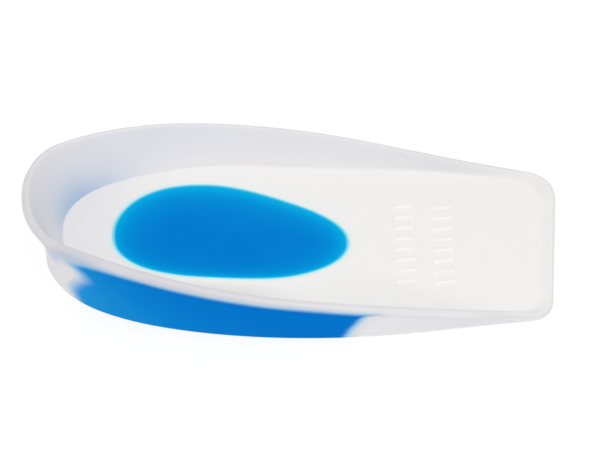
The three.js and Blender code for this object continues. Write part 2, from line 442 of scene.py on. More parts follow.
@dataclass(frozen=True, kw_only=True)
class Finish:
    """What every finish of the cup has: soft clouds in its colour, the fine grain of a mould, and a gloss."""

    name: str
    cloud_mm: float
    cloud_depth: float
    grain_mm: float
    grain_depth_mm: float
    roughness: float
    specular: float
    ior: float = 1.41
    cloud_detail: float = 2.0
    grain_detail: float = 3.0

    def noise(self, tree: Tree, size_mm: float, detail: float) -> Socket:
        """Makes noise of a real size that stays fixed to the object.

        Args:
            tree: The material's tree.
            size_mm: The size of its spots.
            detail: How many finer layers it has.

        Returns:
            The socket that carries the noise.
        """
        coordinates = add_node(tree, "ShaderNodeTexCoord", {}, {}).outputs["Object"]
        inputs = {"Vector": coordinates, "Scale": 1 / (size_mm * MM), "Detail": detail}
        return output(add_node(tree, "ShaderNodeTexNoise", {}, inputs))

    def clouded(self, tree: Tree, name: str, operation: str, middle: float) -> Socket:
        """Reads one of the mesh's named values and makes it a little uneven.

        Args:
            tree: The material's tree.
            name: The named value.
            operation: How the clouds change it.
            middle: The number with which they leave it as it is.

        Returns:
            The socket that carries the value, kept from 0 to 1.
        """
        cloud = self.noise(tree, self.cloud_mm, self.cloud_detail)
        limits = {"Value": cloud, "To Min": middle - self.cloud_depth, "To Max": middle + self.cloud_depth}
        change = output(add_node(tree, "ShaderNodeMapRange", {}, limits))
        inputs = {"Value": named_value(tree, name), "Value_001": change}
        return output(add_node(tree, "ShaderNodeMath", {"operation": operation, "use_clamp": True}, inputs))

    def surface(self, tree: Tree) -> dict[str, Any]:
        """Gives the shader's gloss, and the bumps of the grain, by the names of its sockets.

        Args:
            tree: The material's tree.

        Returns:
            The values and the socket of the bumps.
        """
        height = self.noise(tree, self.grain_mm, self.grain_detail)
        bump = add_node(tree, "ShaderNodeBump", {}, {"Height": height, "Distance": self.grain_depth_mm * MM})
        return {
            "Roughness": self.roughness,
            "IOR": self.ior,
            "Specular IOR Level": self.specular,
            "Normal": output(bump),
        }


@dataclass(frozen=True, kw_only=True)
class MilkySilicone(Finish):
    """Silicone rubber, moulded in a satin mould: milky, faintly translucent, with no sharp highlight."""

    name: str = "silicone_rubber_satin_moulded"
    thick: str = "#f5f5f4"
    # The greyer tone of thinner silicone, which also carries painted shade on the walls and at the heel.
    thin: str = "#e6e5e8"
    seen_gel: str = "#5b9cd6"
    seen_pad: str = "#98f8ff"
    # The colour of painted shade on the rim, the walls and the floor.
    shade: str = "#c4c4ca"
    cloud_mm: float = 14.0
    cloud_depth: float = 0.03
    grain_mm: float = 0.35
    grain_depth_mm: float = 0.004
    roughness: float = 0.5
    specular: float = 0.25
    scatter_mm: tuple[float, float, float] = (0.9, 0.9, 1.0)
    scatter_weight: float = 0.3

    def colour(self, tree: Tree) -> Socket:
        """Makes the colour: whiter where the silicone is thick, greyer where it is thinner and where shade is
        painted, and blue over gel.

        Args:
            tree: The material's tree.

        Returns:
            The socket that carries the colour.
        """
        colour = blend(tree, self.clouded(tree, "thin", "ADD", 0.0), linear(self.thick), linear(self.thin))
        for name, tint in (("seen_gel", self.seen_gel), ("seen_pad", self.seen_pad), ("shade", self.shade)):
            colour = blend(tree, named_value(tree, name), colour, linear(tint))
        return colour

    def scatter(self) -> dict[str, Any]:
        """Gives how far light spreads under the surface, by the names of the shader's sockets.

        Returns:
            The values.
        """
        return {
            "Subsurface Weight": self.scatter_weight,
            "Subsurface Radius": self.scatter_mm,
            "Subsurface Scale": MM,
        }

    def material(self, gel: "BlueGel") -> Material:
        """Makes the material, which shows the gel where it reaches the skin.

        Args:
            gel: The finish of the gel under the skin.

        Returns:
            The material.
        """
        made, shader = new_material(self.name)
        tree = made.node_tree
        fill(shader, {"Base Color": gel.under_skin(tree, self)} | self.scatter() | self.surface(tree))
        return made


@dataclass(frozen=True, kw_only=True)
class BlueGel(Finish):
    """Soft silicone gel, cast and coloured through: deep blue where it is thick, cyan and paler at its edges.

    Where the gel has a skin, its milky silicone covers the gel wherever the attribute "gel" is below 1.
    """

    colours: tuple[str, ...]
    depths: Numbers
    skin: MilkySilicone | None = None
    cloud_mm: float = 9.0
    cloud_depth: float = 0.05
    grain_mm: float = 0.5
    grain_depth_mm: float = 0.003
    roughness: float = 0.45
    specular: float = 0.01

    def colour(self, tree: Tree) -> Socket:
        """Makes the colour, which follows the depth that the piece's own attribute gives.

        Args:
            tree: The material's tree.

        Returns:
            The socket that carries the colour.
        """
        ramp = add_node(tree, "ShaderNodeValToRGB", {}, {"Fac": self.clouded(tree, "depth", "MULTIPLY", 1.0)})
        stops = ramp.color_ramp.elements
        stops[0].position, stops[0].color = self.depths[0], linear(self.colours[0])
        stops[1].position, stops[1].color = self.depths[-1], linear(self.colours[-1])
        for position, colour in zip(self.depths[1:-1], self.colours[1:-1]):
            stops.new(position).color = linear(colour)
        return ramp.outputs["Color"]

    def under_skin(self, tree: Tree, skin: MilkySilicone) -> Socket:
        """Makes the colour of gel under a skin of silicone, by the share that the attribute "gel" gives.

        Args:
            tree: The material's tree.
            skin: The silicone.

        Returns:
            The socket that carries the colour.
        """
        return blend(tree, named_value(tree, "gel"), skin.colour(tree), self.colour(tree))

    def material(self) -> Material:
        """Makes the material.

        Returns:
            The material.
        """
        made, shader = new_material(self.name)
        tree = made.node_tree
        if self.skin:
            fill(shader, {"Base Color": self.under_skin(tree, self.skin)} | self.skin.scatter())
        else:
            fill(shader, {"Base Color": self.colour(tree)})
        fill(shader, self.surface(tree))
        return made


@dataclass
class Ribs:
    """Matching points of the three outlines, with the level direction out of the cup at each, in millimetres.

    The place of each rib is counted in sections from the heel, and is below 0 on the far side.
    """

    form: "CupForm"
    rim: Array
    base: Array
    crease: Array
    outward: Array
    places: Array
    least_fall: ClassVar[float] = 0.05

    @property
    def softness(self) -> Array:
        """How far the wall's foot is rounded: a crisp crease at the heel, a soft one further forward."""
        form = self.form
        return mix(form.crease_softness_at_heel, form.crease_softness, form.sideness(self.places))

    @property
    def foot(self) -> Array:
        """The crease at the floor's height."""
        return level(self.crease, self.form.floor_height(self.crease[:, 0]))

    def bottom_edge(self, angle: float) -> Array:
        """Gives the rounded bottom edge at an angle, 0 at the bottom and a quarter turn at the wall.

        Args:
            angle: The angle in radians.

        Returns:
            A point for each rib.
        """
        radius = self.form.bottom_edge_radius
        moved = self.base + self.outward * (radius * (math.sin(angle) - 1))
        return level(moved, radius * (1 - math.cos(angle)))

    def rim_edge(self, angles: Any) -> Array:
        """Gives the rounded rim at angles, one or one for each rib: 0 outside and half a turn inside.

        Args:
            angles: The angles in radians.

        Returns:
            A point for each rib.
        """
        angles = np.broadcast_to(angles, (len(self.rim),))
        outside = angles < math.pi / 2
        radius = np.where(outside, self.form.rim_radius, self.form.rim_inner_radius)
        foot = np.where(outside, self.form.bottom_edge_radius, self.form.floor_height(self.crease[:, 0]))
        drop = np.minimum(radius, (self.rim[:, 2] - foot) * self.form.rim_drop_share)
        moved = self.rim + self.outward * column(radius * np.cos(angles))
        return level(moved, self.rim[:, 2] - drop * (1 - np.sin(angles)))

    def inner_turn(self) -> Array:
        """Gives the angle at which the rim's arc runs on into the inner wall without a bend.

        Returns:
            The angle at each rib, in radians.
        """
        top = self.rim_edge(math.pi)
        reach = np.linalg.norm(top[:, :2] - self.crease[:, :2], axis=1) * (1 - self.softness)
        fall = top[:, 2] - self.form.floor_height(self.crease[:, 0])
        return math.pi - np.arctan2(reach, np.maximum(fall, self.least_fall))

    def outer_wall(self, share: Any) -> Array:
        """Gives the outer wall at a share of its height, which may differ from rib to rib.

        Args:
            share: The share, from the bottom edge to the rim.

        Returns:
            A point for each rib.
        """
        backward = np.maximum(0, -self.outward[:, 0])
        most = mix(self.form.side_bulge, -self.form.heel_hollow, backward)
        bulge = most * (self.rim[:, 2] / self.form.height)
        height = column(share) if np.ndim(share) else share
        straight = mix(self.bottom_edge(math.pi / 2), self.rim_edge(0), height)
        return straight + self.outward * column(bulge * np.sin(math.pi * np.asarray(share)))

    def inner_wall(self, share: float) -> Array:
        """Gives the inner wall at a share of the way from the rim down to the crease.

        Args:
            share: The share of the way.

        Returns:
            A point for each rib.
        """
        top, foot = self.rim_edge(self.inner_turn()), self.foot
        bend = level(mix(foot, top, column(self.softness)), foot[:, 2])
        return mix(mix(top, bend, share), mix(bend, foot, share), share)


@dataclass
class CupForm:
    """The cup's form in millimetres. The heel pad and the side inlay follow it."""

    length: float
    width: float = 65.0
    height: float = 17.0
    front_thickness: float = 2.2
    heel_floor_thickness: float = 7.2
    rim_radius: float = 1.2
    rim_inner_radius: float = 0.6
    bottom_edge_radius: float = 0.8
    side_bulge: float = 0.5
    heel_hollow: float = 1.3
    front_corner_length: float = 4.2
    front_corner_width: float = 6.2
    front_skew: float = 1.6
    # How far the rim leans in on the far side by the heel, the place where it does most, and its reach.
    far_heel_tuck: float = 0.7
    far_tuck_place: float = -3.0
    far_tuck_reach: float = 3.6
    rim_drop_share: float = 0.6
    # Between these places, on either side, the form and look of the heel goes over into that of the sides.
    heel_ends: Span = (1.5, 4.5)
    tangent_step: float = 0.001
    rib_step: float = 0.02
    crease_softness_at_heel: float = 0.1
    crease_softness: float = 0.32
    floor_rises: Numbers = (1, 1, 1, 0.9, 0.55, 0.31, 0.16, 0.07, 0)
    # The columns are those of Section: x and y of the rim, the base and the crease, and the wall's height.
    sections: tuple[Section, ...] = (
        Section(-1.0, 0.0, -0.929, 0.0, -0.867, 0.0, 1.0),
        Section(-0.98, 0.288, -0.908, 0.205, -0.851, 0.211, 1.0),
        Section(-0.912, 0.534, -0.852, 0.4, -0.795, 0.395, 1.0),
        Section(-0.803, 0.671, -0.763, 0.569, -0.717, 0.52, 0.993),
        Section(-0.639, 0.812, -0.613, 0.728, -0.58, 0.639, 0.932),
        Section(-0.42, 0.93, -0.409, 0.85, -0.394, 0.741, 0.824),
        Section(-0.146, 0.994, -0.142, 0.933, -0.139, 0.824, 0.669),
        Section(0.146, 0.987, 0.146, 0.955, 0.146, 0.863, 0.514),
        Section(0.438, 0.927, 0.438, 0.92, 0.438, 0.85, 0.338),
        Section(0.693, 0.863, 0.693, 0.853, 0.69, 0.805, 0.189),
    )
    # The last section has its x from the front edge, which reaches a little further out at the bottom.
    front_section: Section = Section(1.0, 0.815, 1.009, 0.789, 0.94, 0.754, 0.068)

    @property
    def last(self) -> int:
        """The number of the section where the front corner starts."""
        return len(self.sections)

    def crest_half(self) -> Array:
        """Gives half the length and half the width of the rim's crest."""
        return np.array([self.length / 2 - self.rim_radius, self.width / 2 - self.rim_radius])

    def floor_height(self, x: Any) -> Array:
        """Gives the floor's height at distances along the cup.

        Args:
            x: The distances from the middle, in millimetres.

        Returns:
            The height at each.
        """
        rises = np.array(self.floor_rises, float)
        along = np.clip((np.asarray(x, float) + self.length / 2) / self.length, 0, 1)
        rise = even_curve(rises, along * (len(rises) - 1))
        return self.front_thickness + (self.heel_floor_thickness - self.front_thickness) * rise

    def knots(self, outline: Outline) -> Array:
        """Gives an outline's points from the near front corner round the heel to the far one.

        Args:
            outline: The outline.

        Returns:
            The points, one a row.
        """
        half = self.crest_half()
        x_name, y_name = f"{outline.value}_x", f"{outline.value}_y"
        corner_x = getattr(self.front_section, x_name) - self.front_corner_length / half[0]
        rows = (*self.sections, self.front_section._replace(**{x_name: corner_x}))
        far = np.zeros((len(rows), 3))
        far[:, 0] = [getattr(row, x_name) * half[0] for row in rows]
        far[:, 1] = [getattr(row, y_name) * half[1] for row in rows]
        if outline is Outline.RIM:
            far[:, 2] = [mix(self.front_thickness, self.height, row.wall) for row in rows]
        near = far[:0:-1] * (1, -1, 1)
        return np.vstack([near, far])

    def side(self, outline: Outline, places: Array) -> Array:
        """Gives an outline's points on the near side, at places counted in sections from the heel."""
        return smooth_curve(self.knots(outline), self.last - places)

    def corner(self, outline: Outline, shares: Array) -> Array:
        """Gives the near front corner of an outline, by shares of the way from the side to the front edge.

        Args:
            outline: The outline.
            shares: The shares.

        Returns:
            A point for each share.
        """
        start = self.side(outline, np.array([float(self.last)]))[0]
        before = self.side(outline, np.array([self.last - self.tangent_step]))[0]
        direction = start - before
        front_x = getattr(self.front_section, f"{outline.value}_x") * self.crest_half()[0]
        bend = start + direction * ((front_x - start[0]) / direction[0])
        bend[2] = self.front_thickness if outline is Outline.RIM else 0.0
        end = bend + (0, self.front_corner_width, 0)
        along = column(shares)
        return mix(mix(start, bend, along), mix(bend, end, along), along)

    def skewed(self, points: Array) -> Array:
        """Sets the near end of the front edge a little back, as the edge isn't quite square.

        Args:
            points: Points of an outline.

        Returns:
            The moved points.
        """
        half_width = -self.corner(Outline.RIM, np.array([1.0]))[0, 1]
        nearness = np.maximum(0, (half_width - points[:, 1]) / (2 * half_width))
        moved = np.array(points)
        moved[:, 0] -= self.front_skew * ease(0, self.length / 2, points[:, 0]) * nearness
        return moved

    def sideness(self, places: Array) -> Array:
        """Gives 0 at the back of the heel and 1 along the sides."""
        return ease(*self.heel_ends, np.abs(places))

    def loop(self, side_steps: int, corner_steps: int, front_steps: int) -> Ribs:
        """Makes ribs all round the cup, from the back of the heel along the near side.

        Args:
            side_steps: How many ribs each section has.
            corner_steps: How many a front corner has.
            front_steps: How many the front edge has, an even number.

        Returns:
            The ribs.
        """
        places = np.arange(self.last * side_steps) / side_steps
        corner = np.arange(corner_steps + 1) / corner_steps
        loops = {}
        for outline in Outline:
            near = np.vstack([self.side(outline, places), self.corner(outline, corner)])
            end, other = near[-1], near[-1] * (1, -1, 1)
            front = mix(end, other, column(np.arange(1, front_steps) / front_steps))
            loops[outline] = self.skewed(np.vstack([near, front, near[:0:-1] * (1, -1, 1)]))
        near_places = np.concatenate([places, self.last + corner])
        front_places = np.full(front_steps - 1, self.last + 1.0)
        signed = np.concatenate([near_places, front_places, -near_places[:0:-1]])
        rim = loops[Outline.RIM]
        tuck = hump(self.far_tuck_place, self.far_tuck_reach, signed)
        rim[:, 1] -= self.far_heel_tuck * tuck
        along = np.roll(rim, -1, axis=0) - np.roll(rim, 1, axis=0)
        return self.ribs(rim, loops[Outline.BASE], loops[Outline.CREASE], along, signed)

    def ribs(self, rim: Array, base: Array, crease: Array, along: Array, places: Array) -> Ribs:
        """Joins points of the three outlines with the direction out of the cup, a right angle from along.

        Args:
            rim: The rim's points.
            base: The base's points.
            crease: The crease's points.
            along: The rim's direction at each of them.
            places: Their places.

        Returns:
            The ribs.
        """
        outward = np.stack([along[:, 1], -along[:, 0], np.zeros(len(along))], axis=1)
        outward /= column(np.linalg.norm(outward, axis=1))
        return Ribs(self, rim, base, crease, outward, places)

    def near_ribs(self, places: Array) -> Ribs:
        """Makes ribs on the near side, at places counted in sections from the heel.

        Args:
            places: The places.

        Returns:
            The ribs.
        """
        rim, base, crease = (self.skewed(self.side(outline, places)) for outline in Outline)
        steps = (places + self.rib_step, places - self.rib_step)
        after, before = (self.skewed(self.side(Outline.RIM, place)) for place in steps)
        return self.ribs(rim, base, crease, after - before, places)


@dataclass
class HeelPad:
    """The egg-shaped gel pad, flush in the floor under the heel."""

    form: CupForm
    finish: BlueGel
    from_heel: float = 18.6
    length: float = 49.6
    width: float = 34.2
    egg_share: float = 0.15
    fullness: float = 0.93
    # How far the edge swells past an even egg, as a share, at even steps from the front over the far side.
    edge_swells: Numbers = (
        0.004, 0.0, -0.01, -0.02, -0.013, 0.004, 0.005, -0.018, -0.031,
        -0.012, 0.016, 0.016, -0.01, -0.023, -0.004, 0.021, 0.024, 0.012,
    )
    crown: float = 0.3
    skin_below: float = 1.6
    seam: float = 0.02
    edge_radius: float = 0.12
    halo: float = 0.9
    halo_depth: float = 0.2
    halo_power: int = 4
    halo_outside: Numbers = (1.0, 0.5, 0.2)
    pale_side_degrees: float = 80.0
    pale_shares: Span = (0.6, 1.0)
    pale_reach: Span = (1.9, 4.6)
    columns: int = 48
    bottom_columns: int = 6
    edge_steps: int = 4
    edge_samples: int = 1440

    @property
    def centre_x(self) -> float:
        """The middle of the pad along the cup."""
        return -self.form.length / 2 + self.from_heel + self.length / 2

    def turns(self, loop: Array) -> Array:
        """Gives the angle on the pad's edge that faces each point of a loop round it."""
        return np.arctan2(loop[:, 1] / self.width, (loop[:, 0] - self.centre_x) / self.length)

    def outline(self, turns: Array, inset: float = 0.0) -> Array:
        """Gives the pad's edge at angles, moved in by an inset.

        Args:
            turns: The angles in radians.
            inset: How far the edge is moved in.

        Returns:
            A point for each angle.
        """
        side = np.sign(np.sin(turns)) * np.abs(np.sin(turns)) ** self.fullness
        swells = np.array(self.edge_swells)
        wrapped = np.concatenate([swells[-1:], swells, swells[:2]])
        swell = 1 + even_curve(wrapped, 1 + (turns / (2 * math.pi)) % 1 * len(swells))
        x = self.centre_x + (self.length / 2 * swell - inset) * np.cos(turns)
        y = (self.width / 2 * swell - inset) * side * (1 - self.egg_share * np.cos(turns))
        return np.stack([x, y, np.zeros(len(turns))], axis=1)

    def from_edge(self, points: Array) -> Array:
        """Gives how far points inside the pad are from its edge, seen from above.

        Args:
            points: The points.

        Returns:
            The distance of each.
        """
        edge = self.outline(np.linspace(0, 2 * math.pi, self.edge_samples, endpoint=False))
        tree = KDTree(len(edge))
        for number, place in enumerate(edge):
            tree.insert(place, number)
        tree.balance()
        return np.array([tree.find(point)[2] for point in level(points, 0.0)])

    def reach(self, points: Array) -> tuple[Array, Array]:
        """Gives how far points are from the pad's middle, and how far its edge is that way."""
        edge = self.outline(self.turns(points))
        return tuple(np.hypot(place[:, 0] - self.centre_x, place[:, 1]) for place in (points, edge))

    def top(self, points: Array) -> Array:
        """Gives the height of the pad's top, which is a little crowned.

        Args:
            points: Points on the pad.

        Returns:
            The height at each.
        """
        out, edge = self.reach(points)
        share = np.minimum(out / edge, 1)
        return self.form.floor_height(points[:, 0]) + self.crown * (1 - share**2)

    def build(self, turns: Array) -> Object:
        """Makes the pad.

        Args:
            turns: The angles of its edge's points, the same as those of the recess that holds it.

        Returns:
            The pad as an object.
        """
        skin = Skin()
        bottom = self.skin_below + self.seam
        lower = skin.add_loop(level(self.outline(turns, self.seam), bottom))
        skin.add_cap(lower, lambda inner: np.full(len(inner), bottom), self.bottom_columns, False)
        for step in range(self.edge_steps + 1):
            angle = math.pi / 2 * step / self.edge_steps
            edge = self.outline(turns, self.seam + self.edge_radius * (1 - math.cos(angle)))
            drop = self.edge_radius * (1 - math.sin(angle))
            upper = skin.add_loop(level(edge, self.form.floor_height(edge[:, 0]) - drop))
            skin.add_band(lower, upper)
            lower = upper
        skin.add_cap(lower, self.top, self.columns, True)
        made = skin.make("gel_heel_pad")
        self.add_depth(made)
        return made

    def add_depth(self, made: Object) -> None:
        """Gives each point how deep the blue looks: pale at the edge, slowest to deepen on the far side.

        Args:
            made: The pad.
        """
        mesh = made.data
        points = np.empty(len(mesh.vertices) * 3, np.float32)
        mesh.vertices.foreach_get("co", points)
        points = points.reshape(-1, 3) / MM
        from_edge = self.from_edge(points)
        shallow = 0.5 + 0.5 * np.cos(self.turns(points) - math.radians(self.pale_side_degrees))
        paleness = mix(*self.pale_shares, shallow) * np.exp(
            -np.maximum(0, from_edge - self.halo) / mix(*self.pale_reach, shallow)
        )
        halo = np.clip(from_edge / self.halo, 0, 1)
        depth = halo * self.halo_depth + halo**self.halo_power * (1 - self.halo_depth) * (1 - paleness)
        attribute = mesh.attributes.new("depth", "FLOAT", "POINT")
        attribute.data.foreach_set("value", depth.astype(np.float32))

    def dress(self, made: Object) -> None:
        """Gives the pad its finish and puts it in the frame.

        Args:
            made: The pad.
        """
        settle(made, self.finish.material())
        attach(made, "root")
        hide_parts("heel_pad")


@dataclass
class SideInlay:
    """The band of gel in the near outer wall, flush with it and down to the bottom.

    Its ends and its top edge show as soft fades, because the skin over the gel grows thicker there.
    """

    form: CupForm
    finish: BlueGel
    depth: float = 1.5
    # Where the blue is half way to nothing, at even steps of the wall's height from the bottom to the rim.
    heel_end: Numbers = (2.45, 2.33, 2.44, 2.66, 2.9, 2.9, 2.73, 2.7, 2.74)
    front_end: Numbers = (7.22, 7.25, 7.27, 7.3, 7.34, 7.375, 7.41, 7.48, 7.66)
    # The band's top edge as a share of the wall's height, at places counted in sections from the heel.
    top_places: Numbers = (2.9, 3.1, 3.45, 3.72, 4.2, 4.6, 5.3, 6.0, 6.65, 7.2)
    top_shares: Numbers = (0.853, 0.886, 0.925, 0.94, 0.952, 0.953, 0.957, 0.968, 0.973, 0.969)
    top_tuck: float = 0.03
    heel_fade: Span = (0.32, 0.4)
    heel_fade_power: float = 1.8
    front_fade: float = 0.1
    # Half the width of the top edge's fade in millimetres, at the first place and from the second on.
    top_fade: Span = (1.4, 1.0)
    top_fade_places: Span = (3.0, 4.6)
    # The faint blue over the heel end. Its middle, a share of the wall's height, climbs between two places.
    haze_middles: Span = (0.66, 0.93)
    haze_climbs: Span = (1.6, 2.5)
    haze_width: float = 0.3
    haze_strength: float = 0.45
    haze_starts: Span = (0.3, 1.4)
    haze_ends: Span = (3.0, 4.0)
    haze_over_rim: float = 10.0
    # The blue deepens between two places, and sooner high up. Where the gel runs out it turns to cyan.
    deepens: Span = (2.4, 7.4)
    deepens_sooner: float = 1.6
    pale_depth: float = 0.45
    cyan_power: int = 4
    seam: float = 0.006
    overrun: float = 3.0
    rough_length: float = 60.0
    along_steps: int = 150
    height_steps: int = 32
    edge_steps: int = 5

    def end(self, table: Numbers, shares: Array) -> Array:
        """Gives where the blue ends, in sections from the heel.

        Args:
            table: One end of the band at even steps of the wall's height.
            shares: Where to read it, as shares of the wall's height.

        Returns:
            The end at each height.
        """
        return even_curve(np.array(table), np.clip(shares, 0, 1) * (len(table) - 1))

    def top(self, places: Array) -> Array:
        """Gives the band's top edge as a share of the wall's height: it dips at the heel end."""
        return np.interp(places, self.top_places, self.top_shares)

    def values(self, ribs: Ribs, shares: Array, over_rim: Any = 0.0) -> dict[str, Any]:
        """Gives the named values of points on the outer wall or the rim above it.

        Args:
            ribs: The ribs that the points are on.
            shares: Shares of the outer wall's height.
            over_rim: How far past the wall's top the points lie over the rim.

        Returns:
            How much gel reaches the skin, how deep it looks and how much haze it leaves.
        """
        places = ribs.places
        above = (shares - self.top(places)) * ribs.outer_wall(1.0)[:, 2] + over_rim
        from_heel = places - self.end(self.heel_end, shares)
        behind, ahead = self.heel_fade
        sharp = 1 - (1 - np.clip((from_heel + behind) / (behind + ahead), 0, 1)) ** self.heel_fade_power
        heel = (sharp + ease(-behind, ahead, from_heel)) / 2
        front = ease(-self.front_fade, self.front_fade, self.end(self.front_end, shares) - places)
        top = ease(-1, 1, -above / mix(*self.top_fade, ease(*self.top_fade_places, places)))
        middle = mix(*self.haze_middles, ease(*self.haze_climbs, places))
        along = ease(*self.haze_starts, places) * (1 - ease(*self.haze_ends, places))
        haze = hump(middle, self.haze_width, shares + over_rim / self.haze_over_rim) * along
        deepness = ease(*self.deepens, places + self.deepens_sooner * shares)
        return {
            "gel": heel * front * top,
            "depth": mix(self.pale_depth, 1.0, deepness) * heel * (front * top) ** self.cyan_power,
            "seen_gel": self.haze_strength * haze,
        }

    def ring(self, along: float, grow: float, overrun: float) -> tuple[Array, dict[str, Any]]:
        """Makes one cross-section of the band, which runs down its outer face and up its inner one.

        Args:
            along: The share of the way from the heel end to the front end.
            grow: How far the cutter reaches past the band inside the wall.
            overrun: How far the outer face stands clear of the wall.

        Returns:
            The section's points and their named values.
        """
        height = np.linspace(1, 0, self.height_steps + 1)
        heel = self.end(self.heel_end, height) - self.heel_fade[0]
        front = self.end(self.front_end, height) + self.front_fade
        places = mix(heel, front, along)
        ribs = self.form.near_ribs(places)
        shares = height * (self.top(places) - self.top_tuck + grow / self.form.height)
        face = ribs.outer_wall(shares)
        outward = ribs.outward
        bottom = self.form.near_ribs(np.full(self.edge_steps, places[-1]))
        angles = np.linspace(math.pi / 2, 0, self.edge_steps + 1)[1:]
        corner = np.array([bottom.bottom_edge(angle)[0] for angle in angles])
        inner = face - outward * (self.depth + grow)
        inner[-1, 2] = 0
        floor_inner = corner[-1:] - outward[-1:] * (self.depth + grow - self.form.bottom_edge_radius)
        outer = np.vstack([face, corner])
        outer_outward = np.vstack([outward, bottom.outward])
        if overrun:
            outer = outer + outer_outward * overrun
            outer[self.height_steps :, 2] = -overrun
            floor_inner[0, 2] = -overrun
        lowest = np.full(self.edge_steps + 1, self.height_steps)
        order = np.concatenate([np.arange(self.height_steps + 1), lowest, np.arange(self.height_steps)[::-1]])
        values = {name: value[order] for name, value in self.values(ribs, shares).items()}
        # The outer wall's greyer tone and painted shade, the same as the cup's around the band.
        values["thin"] = CupBody.outer_thinness
        values["shade"] = CupBody.outer_shade(places, shares)[order]
        return np.vstack([outer, floor_inner, inner[-2::-1]]), values

    def solid(self, name: str, grow: float, overrun: float) -> Object:
        """Makes the band, or the cutter of its recess, as one closed solid.

        Args:
            name: The object's name.
            grow: How far it reaches past the band inside the wall.
            overrun: How far it stands clear of the wall.

        Returns:
            The object.
        """
        skin = Skin()
        rings = []
        for step in range(self.along_steps + 1):
            stretch = grow / self.rough_length * (2 * step / self.along_steps - 1)
            points, values = self.ring(step / self.along_steps + stretch, grow, overrun)
            rings.append(skin.add_loop(points, **values))
        for lower, upper in zip(rings, rings[1:]):
            skin.add_band(lower, upper)
        self.add_end(skin, rings[0], False)
        self.add_end(skin, rings[-1], True)
        return skin.make(name)

    def add_end(self, skin: Skin, ring: Array, forward: bool) -> None:
        """Closes one end with a ladder of faces between its outer and its inner side.

        Args:
            skin: The surface.
            ring: The numbers of the end's points.
            forward: True at the front end, False at the heel end.
        """
        split = self.height_steps + self.edge_steps + 1
        outer, inner = ring[:split], ring[split:]
        other = list(inner[::-1])
        other += [inner[0]] * (len(outer) - len(other))
        for one, two, three, four in zip(outer[:-1], outer[1:], other[1:], other[:-1]):
            corners = (one, two, three, four)
            skin.add_face(*(corners if forward else corners[::-1]))

    def build(self) -> Object:
        """Makes the band."""
        return self.solid("gel_side_inlay", -self.seam, 0)

    def dress(self, made: Object) -> None:
        """Gives the band its finish and puts it in the frame.

        Args:
            made: The band.
        """
        settle(made, self.finish.material())
        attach(made, "root")
        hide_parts("side_inlay")


